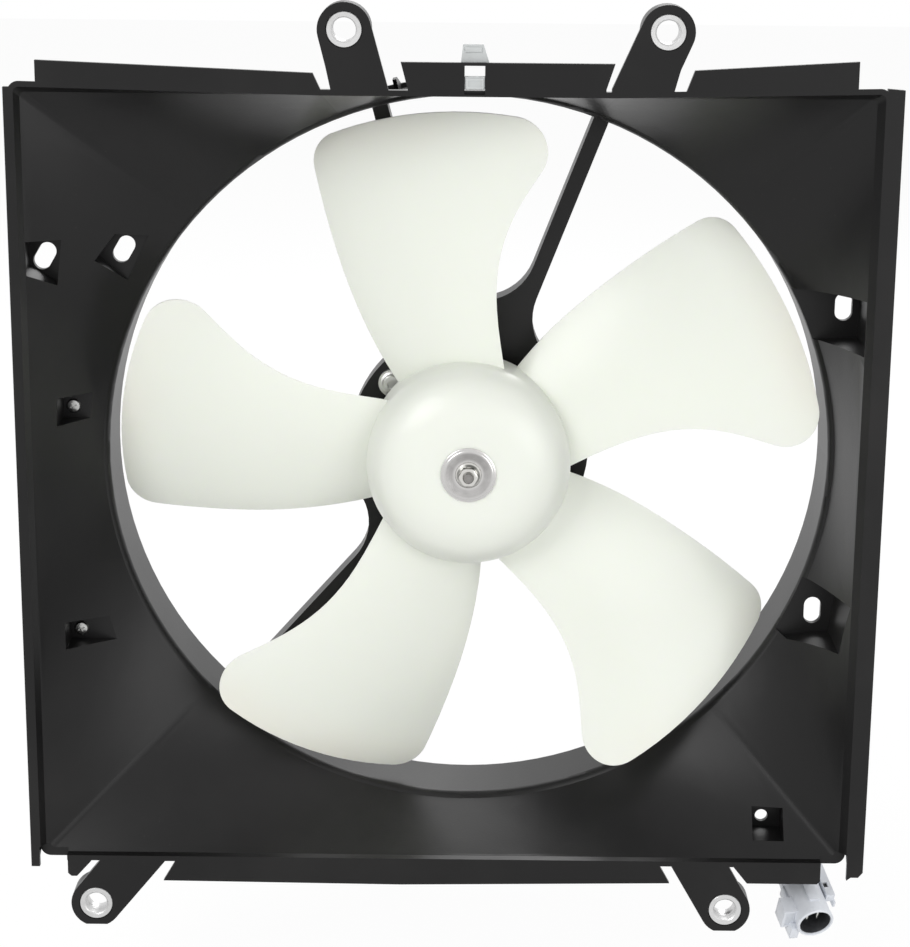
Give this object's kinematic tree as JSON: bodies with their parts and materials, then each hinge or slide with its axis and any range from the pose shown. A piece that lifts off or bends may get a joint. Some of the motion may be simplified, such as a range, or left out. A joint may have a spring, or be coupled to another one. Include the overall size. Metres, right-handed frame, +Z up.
{
  "type": "radiator cooling fan",
  "caption": "Electric cooling fan for a radiator: a square moulded shroud with a ring, struts and mounting ears, and a bladed fan turned by a motor behind it.",
  "frame": {"origin": "on the fan axis, in the plane of the flanges' front faces, which meet the radiator", "axes": "+X to the right as seen from the radiator, +Y to the rear along the fan axis, away from the radiator, +Z up"},
  "size_m": [0.3896, 0.1246, 0.4375],
  "materials": {
    "black_rubber": "matt",
    "brush_board": "matt",
    "brush_carbon": "matt",
    "bush_bronze": "satin",
    "can_steel": "satin",
    "clip_grey": "satin",
    "commutator_copper": "turned",
    "connector_grey": "satin",
    "copper_enamel": "glossy enamel",
    "core_iron": "bare",
    "fan_nylon": "semi-gloss, milky",
    "magnet_ferrite": "matt",
    "nut_zinc": "zinc, slightly yellow",
    "seal_rubber": "matt",
    "shaft_steel": "ground",
    "shroud_black": "satin",
    "sleeve_zinc": "zinc",
    "spring_steel": "satin",
    "terminal_tin": "bright",
    "washer_zinc": "bright zinc",
    "zinc_steel": "satin"
  },
  "bodies": {
    "housing": {"shroud": "shroud_black", "upper_left_sleeve": "sleeve_zinc", "upper_right_sleeve": "sleeve_zinc", "lower_left_sleeve": "sleeve_zinc", "lower_right_sleeve": "sleeve_zinc", "top_clip": "clip_grey", "motor_can": "can_steel", "motor_end_plate": "can_steel", "motor_bracket": "zinc_steel", "motor_screws": "zinc_steel", "front_bush": "bush_bronze", "rear_bush": "bush_bronze", "upper_magnet": "magnet_ferrite", "lower_magnet": "magnet_ferrite", "brush_plate": "brush_board", "left_brush": "brush_carbon", "right_brush": "brush_carbon", "brush_springs": "spring_steel", "lead_grommet": "black_rubber", "connector_housing": "connector_grey", "connector_terminals": "terminal_tin", "connector_seal": "seal_rubber"},
    "rotor": {"fan": "fan_nylon", "hub_insert": "zinc_steel", "fan_washer": "washer_zinc", "fan_nut": "nut_zinc", "motor_shaft": "shaft_steel", "armature_core": "core_iron", "front_windings": "copper_enamel", "rear_windings": "copper_enamel", "commutator": "commutator_copper"}
  },
  "joints": [
    {"name": "fan_spin", "type": "hinge", "parent": "housing", "child": "rotor", "pos_m": [0, 0, 0], "axis": [0, 1, 0], "continuous": true}
  ]
}
